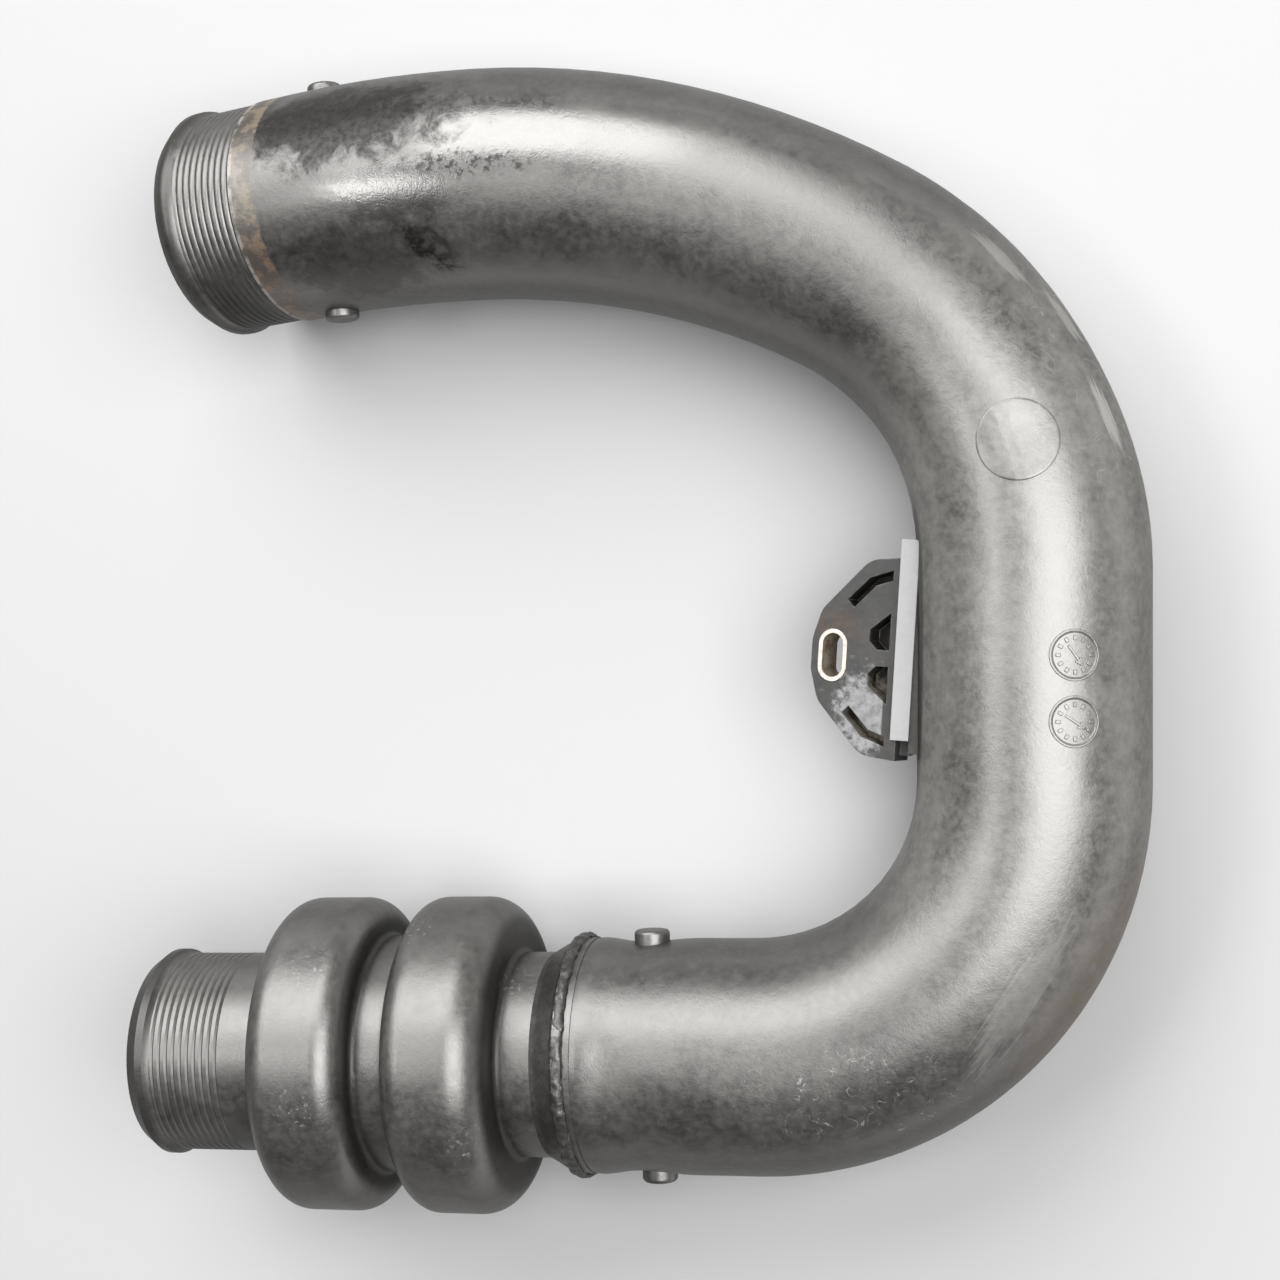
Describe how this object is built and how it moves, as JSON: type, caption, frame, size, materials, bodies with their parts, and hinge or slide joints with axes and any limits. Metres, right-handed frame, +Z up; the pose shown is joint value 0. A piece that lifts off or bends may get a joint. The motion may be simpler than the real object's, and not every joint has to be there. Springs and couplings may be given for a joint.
{
  "type": "intercooler pipe",
  "caption": "U-shaped black moulded intercooler pipe with beaded hose spigots, a welded bellows cuff and a ribbed side bracket with a metal screw sleeve.",
  "frame": {"origin": "middle of the bounding box in X and Y, at the floor that the pipe lies on", "axes": "+X from the two mouths towards the closed side of the U, +Y from the bellows to the other arm, +Z up from the floor"},
  "size_m": [0.3316, 0.3798, 0.1068],
  "materials": {
    "pipe_plastic": "satin black, dusty",
    "bellows_plastic": "satin black, dusty",
    "bracket_plastic": "matte dark grey, scuffed",
    "limiter_steel": "plated, a little rusty"
  },
  "bodies": {
    "root": {"main_pipe": "pipe_plastic", "bellows_cuff": "bellows_plastic", "bracket": "bracket_plastic", "compression_limiter": "limiter_steel"}
  },
  "joints": []
}
